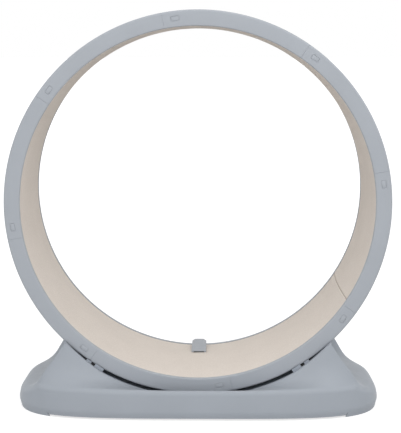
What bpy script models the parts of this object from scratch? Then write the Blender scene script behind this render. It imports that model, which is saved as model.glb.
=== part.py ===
"""Cat exercise wheel: a one metre running ring of eight snap-together segments on a low moulded base.

Metres, +Z up. X runs along the base, Y runs from the front to the rear and the ring spins about Y.
The origin is on the floor, below the middle of the base.
"""

import math

import bmesh
import bpy
from mathutils import Matrix, Vector

# Running ring
ring_outer_radius = 0.500
ring_width = 0.320
ring_floor_clearance = 0.0455
ring_face_height = 0.0413
ring_edge_round = 0.005
ring_lip_round = 0.003
ring_lip_width = 0.010
ring_wall = 0.003
segment_count = 8
segment_steps = 9
first_seam_angle = math.radians(10.5)
segment_gap = 0.0004

# Felt track mat: one strip, laid in a shallow seat on the crowned running surface
mat_seat_depth = 0.0058
track_crown = 0.0079
crown_shares = (0.5, 0, -0.5)
mat_thickness = 0.0045
mat_end_gap = 0.0010
mat_seam_angle = math.radians(-32.6)
mat_edge_round = 0.0012

# Snap joints between the ring segments
latch_reach = 0.043
latch_root = 0.018
latch_plate = 0.003
latch_window_length = 0.021
latch_window_height = 0.012
latch_window_offset = 0.031
latch_clearance = 0.0005
latch_tooth_recess = 0.0008
latch_root_overlap = 0.0012

# Track rollers
roller_angle = math.radians(33.5)
roller_radius = 0.025
roller_width = 0.026
roller_inset = 0.0025
roller_running_gap = 0.0004
tyre_thickness = 0.0060
tyre_edge_round = 0.0020
bearing_outer_radius = 0.011
bearing_bore_radius = 0.004
bearing_width = 0.007
hub_web_radius = 0.0075
axle_clearance = 0.0003

# Roller carriers
carrier_wall = 0.0035
carrier_side_room = 0.0060
carrier_floor_room = 0.0030
carrier_end_room = 0.0060
carrier_face_gap = 0.0022
carrier_tab_length = 0.012
carrier_tab_thickness = 0.003
carrier_mouth_rise = 0.0030
prong_width = 0.014
prong_shift = 0.0275
prong_overlap = 0.0070
ear_shift = 0.0050
ear_width = 0.026
ear_overlap = 0.0030

# Base
base_half_length = 0.4787
base_half_depth = 0.2353
base_bulge = 0.005
base_corner_power = 4.0
base_wall = 0.0025
skirt_clearance = 0.0055
cap_clearance = 0.0008
skirt_bulge_height = 0.0187
crease_height_middle = 0.0781
crease_height_front = 0.0815
crease_height_rear_middle = 0.060
crease_height_rear = 0.050
crease_setback = 0.0070
crease_end_setback = 0.0130
crease_roll = 0.008
saddle_clearance = 0.005
saddle_closing = 0.008
saddle_closing_start = 0.235
saddle_half_length = 0.347
trough_gap = 0.0060
ridge_width = 0.008
seam_shares = (0.801, 0.826, 0.860, 0.862, 0.8270, 0.7860)
cheek_shares = (0.333, 0.667)
cheek_rise_shares = (0.27, 0.57)
cap_crease_height = 0.046
cap_shoulder_height = 0.087
cap_tilt = 0.011
cap_rise_shares = (0.27, 0.58)
cap_saddle_power = 9.0
cap_ridge_share = 2.0
cap_corner_power = 2.5
cap_steps = 16
panel_steps = 26
panel_crowding = 0.4
panel_seam_gap = 0.0008
mitre_limit_share = 0.6
seated_gap = 0.0003

# Cradle, floor pan and feet
cradle_clearance = 0.015
cradle_thickness = 0.003
cradle_half_angle = math.radians(41.0)
cradle_steps = 24
pan_thickness = 0.003
web_thickness = 0.003
web_half_angle = math.radians(40.0)
foot_radius = 0.020
foot_height = 0.006
foot_across = 0.385
foot_along = 0.135
foot_taper = 0.0015

# Lock arm over the rear rim
lock_width = 0.041
lock_crest_width = 0.0246
lock_crest_drop = 0.008
lock_crest_length = 0.042
lock_tip_depth = 0.050
lock_tip_height = 0.0051
lock_crest_height = 0.0125
lock_track_gap = 0.0010
lock_rim_gap = 0.0035
lock_pivot_behind = 0.028
lock_pivot_height = 0.0693
lock_knuckle_radius = 0.0065
lock_knuckle_width = 0.041
lock_pin_radius = 0.003
lock_lug = 0.004
lock_lug_gap = 0.0005
lock_foot_thickness = 0.003
lock_pad_length = 0.029
lock_pad_width = 0.0285
lock_recess_roof = 0.0018

cut_overrun = 0.002

# Worked out from the values above
ring_half_width = ring_width / 2
ring_centre_height = ring_floor_clearance + ring_outer_radius
lip_radius = ring_outer_radius - ring_face_height
seat_half_width = ring_half_width - ring_lip_width
seat_radius = lip_radius + mat_seat_depth
segment_angle = 2 * math.pi / segment_count
roller_centre_radius = ring_outer_radius + roller_running_gap + roller_radius
roller_outer_face = ring_half_width - roller_inset
roller_inner_face = roller_outer_face - roller_width
roller_middle = (roller_outer_face + roller_inner_face) / 2
axle_radius = bearing_bore_radius - axle_clearance
trough_half_width = ring_half_width + trough_gap
carrier_outer_face = trough_half_width - 2 * seated_gap
carrier_inner_face = roller_inner_face - carrier_end_room - carrier_wall
saddle_radius = ring_outer_radius + saddle_clearance
cradle_radius = ring_outer_radius + cradle_clearance
pan_top = foot_height + pan_thickness
lock_pivot_depth = ring_half_width + lock_pivot_behind


def clear_scene():
    for item in list(bpy.data.objects):
        bpy.data.objects.remove(item, do_unlink=True)


def make_material(name, colour, roughness, metallic=0.0):
    material = bpy.data.materials.new(name)
    material.use_nodes = True
    shader = material.node_tree.nodes["Principled BSDF"]
    shader.inputs["Base Color"].default_value = (*colour, 1.0)
    shader.inputs["Roughness"].default_value = roughness
    shader.inputs["Metallic"].default_value = metallic
    material.diffuse_color = (*colour, 1.0)
    return material


def shell_plastic():
    return make_material("grey_blue_plastic", (0.38, 0.42, 0.47), 0.45)


def felt():
    return make_material("beige_felt", (0.65, 0.57, 0.49), 0.95)


def dark_plastic():
    return make_material("dark_grey_plastic", (0.13, 0.14, 0.15), 0.50)


def tyre_rubber():
    return make_material("black_rubber", (0.03, 0.03, 0.03), 0.80)


def bearing_steel():
    return make_material("polished_steel", (0.60, 0.60, 0.62), 0.22, 1.0)


def add_empty(name, location):
    empty = bpy.data.objects.new(name, None)
    empty.location = location
    bpy.context.scene.collection.objects.link(empty)
    return empty


def add_part(name, mesh, material, parent=None, location=(0, 0, 0), turn=0.0):
    """Adds one piece, turned about Y and placed in its parent's frame."""
    part = bpy.data.objects.new(name, mesh)
    if not mesh.materials:
        mesh.materials.append(material)
    part.parent = parent
    part.location = location
    part.rotation_euler = (0, turn, 0)
    bpy.context.scene.collection.objects.link(part)
    return part


def finished(work, name, sharp=math.radians(35)):
    bmesh.ops.remove_doubles(work, verts=work.verts, dist=1e-7)
    bmesh.ops.recalc_face_normals(work, faces=work.faces)
    mesh = bpy.data.meshes.new(name)
    work.to_mesh(mesh)
    work.free()
    mesh.shade_smooth()
    mesh.set_sharp_from_angle(angle=sharp)
    return mesh


def combined(body, tool, operation):
    """The mesh that a Boolean of two meshes gives."""
    base = bpy.data.objects.new("boolean_base", body)
    other = bpy.data.objects.new("boolean_tool", tool)
    for item in (base, other):
        bpy.context.scene.collection.objects.link(item)
    step = base.modifiers.new("boolean", "BOOLEAN")
    step.object = other
    step.operation = operation
    step.solver = "EXACT"
    view = base.evaluated_get(bpy.context.evaluated_depsgraph_get())
    mesh = bpy.data.meshes.new_from_object(view)
    for item in (base, other):
        bpy.data.objects.remove(item, do_unlink=True)
    mesh.shade_smooth()
    mesh.set_sharp_from_angle(angle=math.radians(35))
    return mesh


def box_mesh(low, high):
    work = bmesh.new()
    size = Vector(high) - Vector(low)
    middle = (Vector(high) + Vector(low)) / 2
    place = Matrix.Translation(middle) @ Matrix.Diagonal((*size, 1))
    bmesh.ops.create_cube(work, size=1, matrix=place)
    return finished(work, "box")


def lofted(rows, name, cavity_rows=None):
    """A closed body through rows of points. With cavity rows it is a tube that is open at both ends."""
    work = bmesh.new()
    outer = [[work.verts.new(p) for p in row] for row in rows]
    inner = [[work.verts.new(p) for p in row] for row in cavity_rows or []]
    for ring in (outer, inner):
        for one, two in zip(ring, ring[1:]):
            for k in range(len(one)):
                work.faces.new((one[k - 1], one[k], two[k], two[k - 1]))
    if inner:
        for one, two in ((outer[0], inner[0]), (outer[-1], inner[-1])):
            for k in range(len(one)):
                work.faces.new((one[k - 1], one[k], two[k], two[k - 1]))
    else:
        work.faces.new(outer[0])
        work.faces.new(list(reversed(outer[-1])))
    return finished(work, name)


def turned_ring(outline, name, sides):
    """A ring about Y from a closed outline of (y, radius) points."""
    work = bmesh.new()
    rows = []
    for k in range(sides):
        turn = 2 * math.pi * k / sides
        rows.append([work.verts.new((r * math.cos(turn), y, r * math.sin(turn))) for y, r in outline])
    for one, two in zip(rows, rows[1:] + rows[:1]):
        for k in range(len(one)):
            work.faces.new((one[k - 1], one[k], two[k], two[k - 1]))
    return finished(work, name)


def turned_rod(outline, name, sides):
    """A solid rod about Y from (y, radius) points along its length."""
    turns = [2 * math.pi * k / sides for k in range(sides)]
    rows = [[(r * math.cos(t), y, r * math.sin(t)) for t in turns] for y, r in outline]
    return lofted(rows, name)


def on_ring(radius, y, angle):
    return Vector((radius * math.cos(angle), y, radius * math.sin(angle)))


def on_facet(radius, y, angle):
    """A point of the ring's facets, which are flat between turns that are whole steps."""
    half = segment_angle / segment_steps / 2
    return on_ring(radius * math.cos(half) / math.cos(angle % (2 * half) - half), y, angle)


def facet_turns(start, stop):
    """The two end angles and each whole step of the ring's facets between them."""
    step = segment_angle / segment_steps
    first = math.ceil(start / step)
    return [start] + [k * step for k in range(first, math.ceil(stop / step))] + [stop]


def swept(outline, turns):
    return [[on_facet(r, y, t) for y, r in outline] for t in turns]


def inset_outline(points, distance):
    """The outline moved inward by a distance, with as many points."""
    moved = []
    area = sum(a[0] * b[1] - b[0] * a[1] for a, b in zip(points, points[1:] + points[:1]))
    side = 1 if area > 0 else -1
    for k, here in enumerate(points):
        back = (Vector(here) - Vector(points[k - 1])).normalized()
        ahead = (Vector(points[(k + 1) % len(points)]) - Vector(here)).normalized()
        normal_back = Vector((-back.y, back.x)) * side
        normal_ahead = Vector((-ahead.y, ahead.x)) * side
        mitre = (normal_back + normal_ahead).normalized()
        moved.append(tuple(Vector(here) + mitre * distance / mitre.dot(normal_back)))
    return moved


def crown(y):
    """How far the running surface stands proud of its edges."""
    return track_crown * (1 - (y / seat_half_width) ** 2)


def crowned(radius):
    """The points of a crowned line across the track, between its edges."""
    depths = [seat_half_width * share for share in crown_shares]
    return [(y, radius - crown(y)) for y in depths]


def segment_outline():
    """The outside of a ring segment's section, as (y, radius) points."""
    half = [
        (ring_half_width - ring_edge_round, ring_outer_radius),
        (ring_half_width, ring_outer_radius - ring_edge_round),
        (ring_half_width, lip_radius + ring_lip_round),
        (ring_half_width - ring_lip_round, lip_radius),
        (seat_half_width, lip_radius),
        (seat_half_width, seat_radius),
    ]
    return half + crowned(seat_radius) + [(-y, r) for y, r in reversed(half)]


def latch_boxes(angle, low, high):
    """Two boxes in the frame of a seam, one behind each side face, as one mesh."""
    work = bmesh.new()
    size = Vector(high) - Vector(low)
    for side in (1, -1):
        middle = (Vector(high) + Vector(low)) / 2
        middle.y *= side
        at_seam = Matrix.Rotation(-angle, 4, "Y") @ Matrix.Translation(middle)
        bmesh.ops.create_cube(work, size=1, matrix=at_seam @ Matrix.Diagonal((*size, 1)))
    return finished(work, "latch")


def segment_mesh():
    """One ring segment: a hollow section with latch plates at one end and windows at the other.

    In a seam's frame X is the radius and Z runs along the ring, anticlockwise as the front is seen.
    """
    margin = segment_gap / 2 / ring_outer_radius
    outline = segment_outline()
    cavity = inset_outline(outline, ring_wall)
    turns = facet_turns(margin, segment_angle - margin)
    mesh = lofted(swept(outline, turns), "ring_segment", swept(cavity, turns))
    inside_face = ring_half_width - ring_wall
    plate_outer = inside_face - latch_clearance
    plate_low = lip_radius + ring_wall + 2 * latch_plate
    plate_high = ring_outer_radius - ring_edge_round - ring_wall - 2 * latch_clearance
    middle = lip_radius + ring_face_height / 2
    window_near = latch_window_offset - latch_window_length / 2
    window_far = latch_window_offset + latch_window_length / 2
    half_height = latch_window_height / 2
    plates = latch_boxes(
        0,
        (plate_low, plate_outer - latch_plate, -latch_reach),
        (plate_high, plate_outer, latch_root),
    )
    roots = latch_boxes(
        0,
        (plate_low, plate_outer - latch_plate / 2, segment_gap * 2),
        (plate_high, inside_face + latch_root_overlap, latch_root - latch_clearance),
    )
    tooth_half = half_height - latch_clearance
    tooth_face = ring_half_width - latch_tooth_recess
    teeth = latch_boxes(
        0,
        (middle - tooth_half, plate_outer - latch_plate / 2, latch_clearance - window_far),
        (middle + tooth_half, tooth_face, -window_near - latch_clearance),
    )
    windows = latch_boxes(
        segment_angle,
        (middle - half_height, inside_face - cut_overrun, -window_far),
        (middle + half_height, ring_half_width + cut_overrun, -window_near),
    )
    tongues = combined(combined(plates, roots, "UNION"), teeth, "UNION")
    mesh = combined(mesh, tongues, "UNION")
    return combined(mesh, windows, "DIFFERENCE")


def mat_outline():
    """The track mat's section: its edges are eased and its back follows the crowned seat."""
    half = seat_half_width - seated_gap
    back = seat_radius - seated_gap
    face = back - mat_thickness
    first = [(half, face + mat_edge_round), (half, back - crown(half))]
    last = [(-half, back - crown(half)), (-half, face + mat_edge_round)]
    round_off = half - mat_edge_round
    walk = [(round_off, face)] + crowned(face) + [(-round_off, face)]
    return first + crowned(back) + last + list(reversed(walk))


def mat_mesh():
    """The track mat: one strip round the whole ring, whose two ends meet at a seam."""
    margin = mat_end_gap / 2 / lip_radius
    start = mat_seam_angle - first_seam_angle
    turns = facet_turns(start + margin, start + 2 * math.pi - margin)
    return lofted(swept(mat_outline(), turns), "track_mat")


def build_ring(plastic, cloth):
    axis = add_empty("wheel_axis", (0, 0, ring_centre_height))
    segment = segment_mesh()
    for k in range(segment_count):
        start = first_seam_angle + k * segment_angle
        add_part(f"ring_segment_{k + 1}", segment, plastic, axis, turn=-start)
    add_part("track_mat", mat_mesh(), cloth, axis, turn=-first_seam_angle)


def tyre_outline():
    half = roller_width / 2
    inner = roller_radius - tyre_thickness
    return [
        (-half, inner),
        (half, inner),
        (half, roller_radius - tyre_edge_round),
        (half - tyre_edge_round, roller_radius),
        (-half + tyre_edge_round, roller_radius),
        (-half, roller_radius - tyre_edge_round),
    ]


def hub_outline():
    """The hub's section: a bearing seat at each end of a bore with a web between."""
    half = roller_width / 2
    outer = roller_radius - tyre_thickness - seated_gap
    seat = bearing_outer_radius + seated_gap
    web = half - bearing_width - 2 * seated_gap
    return [
        (-half, seat),
        (-web, seat),
        (-web, hub_web_radius),
        (web, hub_web_radius),
        (web, seat),
        (half, seat),
        (half, outer),
        (-half, outer),
    ]


def bearing_outline():
    half = bearing_width / 2
    lip = bearing_width / 12
    return [
        (-half, bearing_bore_radius),
        (half, bearing_bore_radius),
        (half, bearing_outer_radius - lip),
        (half - lip, bearing_outer_radius),
        (-half + lip, bearing_outer_radius),
        (-half, bearing_outer_radius - lip),
    ]


def axle_outline(length):
    half = length / 2
    lead = axle_radius / 4
    slim = axle_radius - lead
    return [(-half, slim), (lead - half, axle_radius), (half - lead, axle_radius), (half, slim)]


def carrier_mesh(side, end):
    """A roller carrier below the ring's centre: an open pocket with tabs, an axle hole and two prongs.

    The prongs stand up outside the ring's side face and keep the ring from drifting.
    """
    low_y = carrier_inner_face
    high_y = carrier_outer_face
    pocket_half = roller_radius + carrier_side_room
    outer_half = pocket_half + carrier_wall
    pocket_floor = roller_centre_radius + roller_radius + carrier_floor_room
    bottom = pocket_floor + carrier_wall
    mouth = cradle_radius - carrier_mouth_rise
    tab_top = math.sqrt((cradle_radius + cradle_thickness) ** 2 - outer_half**2) + seated_gap
    tab_bottom = tab_top + carrier_tab_thickness
    outer_wall = ring_half_width + carrier_face_gap
    body = box_mesh((-outer_half, low_y, -bottom), (outer_half, high_y, -mouth))
    pocket_low = (-pocket_half, low_y + carrier_wall, -pocket_floor)
    pocket = box_mesh(pocket_low, (pocket_half, outer_wall, cut_overrun - mouth))
    tab_half = outer_half + carrier_tab_length
    tab_inner = low_y + seated_gap
    tab_outer = roller_outer_face
    tabs = box_mesh((-tab_half, tab_inner, -tab_bottom), (tab_half, tab_outer, -tab_top))
    body = combined(body, tabs, "UNION")
    for shift, width, overlap in (
        (-side * prong_shift, prong_width, prong_overlap),
        (side * ear_shift, ear_width, ear_overlap),
    ):
        tip = ring_outer_radius - overlap
        low = (shift - width / 2, outer_wall + seated_gap / 2, -mouth - cut_overrun)
        high = (shift + width / 2, high_y - seated_gap / 2, -tip)
        body = combined(body, box_mesh(low, high), "UNION")
    body = combined(body, pocket, "DIFFERENCE")
    reach = high_y + cut_overrun
    hole_ends = [(low_y - cut_overrun, bearing_bore_radius), (reach, bearing_bore_radius)]
    hole = turned_rod(hole_ends, "hole", 20)
    hole.transform(Matrix.Translation((0, 0, -roller_centre_radius)))
    body = combined(body, hole, "DIFFERENCE")
    if end < 0:
        body.transform(Matrix.Diagonal((1, -1, 1, 1)))
        body.flip_normals()
    return body


def build_rollers(plastic, dark, rubber, steel):
    centre = Vector((0, 0, ring_centre_height))
    tyre = turned_ring(tyre_outline(), "roller_tyre", 24)
    hub = turned_ring(hub_outline(), "roller_hub", 20)
    bearing = turned_ring(bearing_outline(), "roller_bearing", 16)
    axle = turned_rod(axle_outline(carrier_outer_face - carrier_inner_face), "roller_axle", 12)
    bearing_shift = (roller_width - bearing_width) / 2
    axle_middle = (carrier_outer_face + carrier_inner_face) / 2
    for side, side_name in ((-1, "left"), (1, "right")):
        for end, end_name in ((-1, "front"), (1, "rear")):
            name = f"{end_name}_{side_name}"
            turn = -side * roller_angle
            down = Vector((side * math.sin(roller_angle), 0, -math.cos(roller_angle)))
            sink = down * roller_centre_radius
            pivot = add_empty(f"roller_axis_{name}", centre + sink + Vector((0, end * roller_middle, 0)))
            add_part(f"roller_tyre_{name}", tyre, rubber, pivot)
            add_part(f"roller_hub_{name}", hub, dark, pivot)
            add_part(f"roller_bearing_{name}_inner", bearing, steel, pivot, (0, -end * bearing_shift, 0))
            add_part(f"roller_bearing_{name}_outer", bearing, steel, pivot, (0, end * bearing_shift, 0))
            mount = add_empty(f"carrier_frame_{name}", centre)
            shift = (sink.x, end * axle_middle, sink.z)
            add_part(f"roller_axle_{name}", axle, steel, mount, shift)
            add_part(f"roller_carrier_{name}", carrier_mesh(side, end), plastic, mount, turn=turn)


def plan_depth(x, half_length, half_depth):
    """How far a rounded-rectangle curve reaches from its middle line at x."""
    share = min(abs(x) / half_length, 1)
    return half_depth * (1 - share**base_corner_power) ** (1 / base_corner_power)


def saddle_height(x):
    """The height of the arc that the cheeks follow round the ring, closer to it towards their tops."""
    share = max(0, (abs(x) - saddle_closing_start) / (saddle_half_length - saddle_closing_start))
    radius = saddle_radius - saddle_closing * share**2 * (3 - 2 * share)
    return ring_centre_height - math.sqrt(radius**2 - x**2)


def base_levels():
    """Half length and half depth of the base's curves from the floor up to the crease."""
    return (
        (base_half_length, base_half_depth),
        (base_half_length + base_bulge, base_half_depth + base_bulge / 2),
        (base_half_length, base_half_depth - crease_setback / 4),
        (base_half_length - crease_end_setback, base_half_depth - crease_setback),
    )


def panel_column(share, middle_height, end_height):
    """A front panel's points from the skirt's lower edge up, over the ridge and down to the pan."""
    sweep = share**2 * (3 - 2 * abs(share))
    crest = middle_height + (end_height - middle_height) * sweep
    heights = (skirt_clearance, skirt_bulge_height, crest - crease_roll, crest)
    points = []
    for length_share, (half_length, half_depth), height in zip(seam_shares, base_levels(), heights):
        x = share * length_share * base_half_length
        points.append(Vector((x, -plan_depth(x, half_length, half_depth), height)))
    ridge_x = share * saddle_half_length
    ridge_y = -trough_half_width - ridge_width
    ridge = Vector((ridge_x, ridge_y, saddle_height(ridge_x)))
    crease = points[-1]
    for length_share, inward, rise in zip(seam_shares[len(points):], cheek_shares, cheek_rise_shares):
        x = share * length_share * base_half_length
        points.append(Vector((x, crease.lerp(ridge, inward).y, crease.lerp(ridge, rise).z)))
    points.append(ridge)
    points.append(Vector((ridge_x, -trough_half_width, ridge.z)))
    points.append(Vector((ridge_x, -trough_half_width, pan_top + seated_gap)))
    return points


def front_column(share):
    return panel_column(share, crease_height_middle, crease_height_front)


def rear_column(share):
    points = panel_column(share, crease_height_rear_middle, crease_height_rear)
    return [Vector((p.x, -p.y, p.z)) for p in points]


def cap_columns():
    """The right end cap's surface, from the front panel's seam round the end to the rear panel's seam.

    Its upper levels fall a little from the front to the rear.
    """
    start = front_column(1)
    stop = rear_column(1)
    levels = base_levels()
    crest_x = base_half_length - crease_end_setback
    top_x = saddle_half_length + ridge_width * cap_ridge_share
    rise = cap_shoulder_height - cap_crease_height
    middle = [
        (base_half_length, skirt_clearance),
        (base_half_length + base_bulge, skirt_bulge_height),
        (base_half_length, cap_crease_height - crease_roll),
        (crest_x, cap_crease_height),
    ]
    for along, up in zip(cheek_shares, cap_rise_shares):
        middle.append((crest_x + (top_x - crest_x) * along, cap_crease_height + rise * up))
    middle.append((top_x, cap_shoulder_height))
    middle.append((saddle_half_length, cap_shoulder_height))
    middle.append((saddle_half_length, pan_top + seated_gap))
    columns = []
    for k in range(1, cap_steps):
        share = math.sin(math.pi / 2 * (2 * k / cap_steps - 1))
        column = []
        for level, (first, last, (mid_x, mid_z)) in enumerate(zip(start, stop, middle)):
            seam = first if share < 0 else last
            y = first.y + (last.y - first.y) * (share + 1) / 2
            if level < len(levels):
                half_length, half_depth = levels[level]
                x = plan_depth(y, half_depth, half_length)
            else:
                fullness = (1 - abs(share) ** cap_corner_power) ** (1 / cap_corner_power)
                x = seam.x + (mid_x - seam.x) * fullness
            level_z = mid_z - (cap_tilt * share if 1 < level < len(middle) - 1 else 0)
            z = level_z + (seam.z - level_z) * abs(share) ** cap_saddle_power
            column.append(Vector((x, y, z)))
        columns.append(column)
    return columns


def base_walk():
    """Every column of the base's surface, once round, anticlockwise from above, in four runs."""
    shares = [2 * k / panel_steps - 1 for k in range(panel_steps + 1)]
    shares = [s + panel_crowding * (math.sin(math.pi / 2 * s) - s) for s in shares]
    front = [front_column(s) for s in shares]
    right = cap_columns()
    rear = [rear_column(-s) for s in shares]
    left = [[Vector((-p.x, p.y, p.z)) for p in column] for column in reversed(right)]
    return front, right, rear, left


def wall_columns(columns):
    """The inner side of the base's wall: each surface point moved in by the wall, with mitred corners."""
    inner = []
    for k, column in enumerate(columns):
        before = columns[k - 1]
        after = columns[(k + 1) % len(columns)]
        moved = []
        for level, here in enumerate(column):
            normals = []
            for along in (here - before[level], after[level] - here):
                if level > 0:
                    normals.append(along.cross(here - column[level - 1]).normalized())
                if level < len(column) - 1:
                    normals.append(along.cross(column[level + 1] - here).normalized())
            mitre = sum(normals, Vector()).normalized()
            slant = max(min(mitre.dot(normal) for normal in normals), mitre_limit_share)
            moved.append(here - mitre * base_wall / slant)
        inner.append(moved)
    return inner


def split_quad(work, near, far, level, rising):
    """Two triangles between two columns, cut along the rising or the falling diagonal."""
    corners = (near[level], far[level], far[level + 1], near[level + 1])
    first = 0 if rising else 1
    turned = corners[first:] + corners[:first]
    work.faces.new((turned[0], turned[1], turned[2]))
    work.faces.new((turned[0], turned[2], turned[3]))


def shell_mesh(outer, inner, name):
    """A closed wall between two grids of points, with its facets cut alike to both sides of its middle."""
    work = bmesh.new()
    skins = [[[work.verts.new(p) for p in column] for column in grid] for grid in (outer, inner)]
    for grid in skins:
        for k, (one, two) in enumerate(zip(grid, grid[1:])):
            for level in range(len(one) - 1):
                split_quad(work, one, two, level, 2 * k < len(grid) - 1)
    face, back = skins
    for k in range(len(face) - 1):
        for end in (0, -1):
            work.faces.new((face[k][end], face[k + 1][end], back[k + 1][end], back[k][end]))
    for column in (0, -1):
        for level in range(len(face[0]) - 1):
            split_quad(work, face[column], back[column], level, True)
    return finished(work, name)


def trimmed(grid, shift):
    """A grid whose two end columns are moved along X, away from the base's middle for a positive shift."""
    moved = [[p.copy() for p in column] for column in grid]
    for column in (moved[0], moved[-1]):
        for point in column:
            point.x += shift if point.x > 0 else -shift
    return moved


def lowered(grid, height):
    """A grid whose lowest points are set down by a height."""
    for column in grid:
        column[0].z -= height
    return grid


def butt_ends(face, back):
    """Keeps a wall's inner end columns from reaching further along X than its outer ones."""
    for k in (0, -1):
        for point, limit in zip(back[k], face[k]):
            point.x = math.copysign(min(abs(point.x), abs(limit.x)), limit.x)


def build_base(plastic):
    """The front and rear panels and the end caps. Returns the inner foot line of the walls."""
    front, right, rear, left = base_walk()
    runs = (
        ("base_front_panel", front, 0, 0),
        ("base_end_cap_right", right, 1, skirt_clearance - cap_clearance),
        ("base_rear_panel", rear, 0, 0),
        ("base_end_cap_left", left, 1, skirt_clearance - cap_clearance),
    )
    outer = front + right + rear + left
    inner = wall_columns(outer)
    start = 0
    for name, run, overlap, drop in runs:
        ends = range(start - overlap, start + len(run) + overlap)
        gap = panel_seam_gap / 2 if overlap else -panel_seam_gap / 2
        grids = []
        for skin in (outer, inner):
            grids.append(lowered(trimmed([skin[k % len(outer)] for k in ends], gap), drop))
        if not overlap:
            butt_ends(*grids)
        add_part(name, shell_mesh(*grids, name), plastic)
        start += len(run)
    return [column[0] for column in inner]


def bottom_turns(half_angle, steps):
    """Angles from one side of the ring's lowest point to the other."""
    lowest = math.pi * 3 / 2
    return [lowest + half_angle * (2 * k / steps - 1) for k in range(steps + 1)]


def cradle_mesh():
    """A curved sheet under the ring, notched at its edges for the four roller carriers."""
    half = carrier_inner_face - seated_gap
    edge = ring_half_width
    inner = cradle_radius
    outer = cradle_radius + cradle_thickness
    turns = bottom_turns(cradle_half_angle, cradle_steps)
    outline = [(-edge, inner), (edge, inner), (edge, outer), (-edge, outer)]
    mesh = lofted([[on_ring(r, y, t) for y, r in outline] for t in turns], "cradle")
    notch_half = roller_radius + carrier_side_room + carrier_wall + 2 * seated_gap
    for side in (-1, 1):
        for end in (-1, 1):
            near = min(end * half, end * (edge + cut_overrun))
            far = max(end * half, end * (edge + cut_overrun))
            low = (-notch_half, near, -outer - cradle_clearance)
            high = (notch_half, far, -inner + cradle_clearance)
            notch = box_mesh(low, high)
            notch.transform(Matrix.Rotation(-side * roller_angle, 4, "Y"))
            mesh = combined(mesh, notch, "DIFFERENCE")
    return mesh


def web_mesh(depth):
    """A standing web whose upper edge follows the cradle."""
    radius = cradle_radius + cradle_thickness + seated_gap
    turns = bottom_turns(web_half_angle, cradle_steps)
    arc = [on_ring(radius, 0, t) + Vector((0, 0, ring_centre_height)) for t in turns]
    foot = pan_top - pan_thickness / 2
    outline = [(p.x, p.z) for p in arc] + [(arc[-1].x, foot), (arc[0].x, foot)]
    sides = (depth - web_thickness / 2, depth + web_thickness / 2)
    rows = [[(x, y, z) for x, z in outline] for y in sides]
    return lofted(rows, "web")


def pan_mesh(foot_line):
    """The floor pan: a plate inside the skirt, with two webs that carry the cradle."""
    outline = inset_outline([(p.x, p.y) for p in foot_line], seated_gap)
    rows = [[(x, y, z) for x, y in outline] for z in (foot_height, pan_top)]
    mesh = lofted(rows, "floor_pan")
    web_depth = carrier_inner_face - web_thickness * 2
    for side in (-1, 1):
        mesh = combined(mesh, web_mesh(side * web_depth), "UNION")
    return mesh


def foot_mesh():
    top = foot_height - seated_gap
    outline = [(0, foot_radius - foot_taper), (foot_taper, foot_radius), (top, foot_radius)]
    mesh = turned_rod(outline, "rubber_foot", 20)
    mesh.transform(Matrix.Rotation(math.pi / 2, 4, "X"))
    return mesh


def build_underframe(plastic, dark, rubber, foot_line):
    add_part("ring_cradle", cradle_mesh(), plastic, location=(0, 0, ring_centre_height))
    add_part("floor_pan", pan_mesh(foot_line), dark)
    foot = foot_mesh()
    for side, side_name in ((-1, "left"), (1, "right")):
        for end, end_name in ((-1, "front"), (1, "rear")):
            place = (side * foot_across, end * foot_along, 0)
            add_part(f"rubber_foot_{end_name}_{side_name}", foot, rubber, location=place)


def extruded(outline, half_width, name):
    """A (y, z) outline made solid from -half_width to +half_width along X."""
    rows = [[(x, y, z) for y, z in outline] for x in (-half_width, half_width)]
    return lofted(rows, name)


def track_height(y):
    """The height of the track mat's face above the floor, at the ring's lowest point."""
    face = seat_radius - seated_gap - mat_thickness
    return ring_centre_height - face + crown(min(abs(y), seat_half_width))


def rod_across(radius, half_length, name):
    """A rod along X, centred on the lock's pivot."""
    mesh = turned_rod([(-half_length, radius), (half_length, radius)], name, 20)
    mesh.transform(Matrix.Rotation(math.pi / 2, 4, "Z"))
    mesh.transform(Matrix.Translation((0, lock_pivot_depth, lock_pivot_height)))
    return mesh


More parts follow.
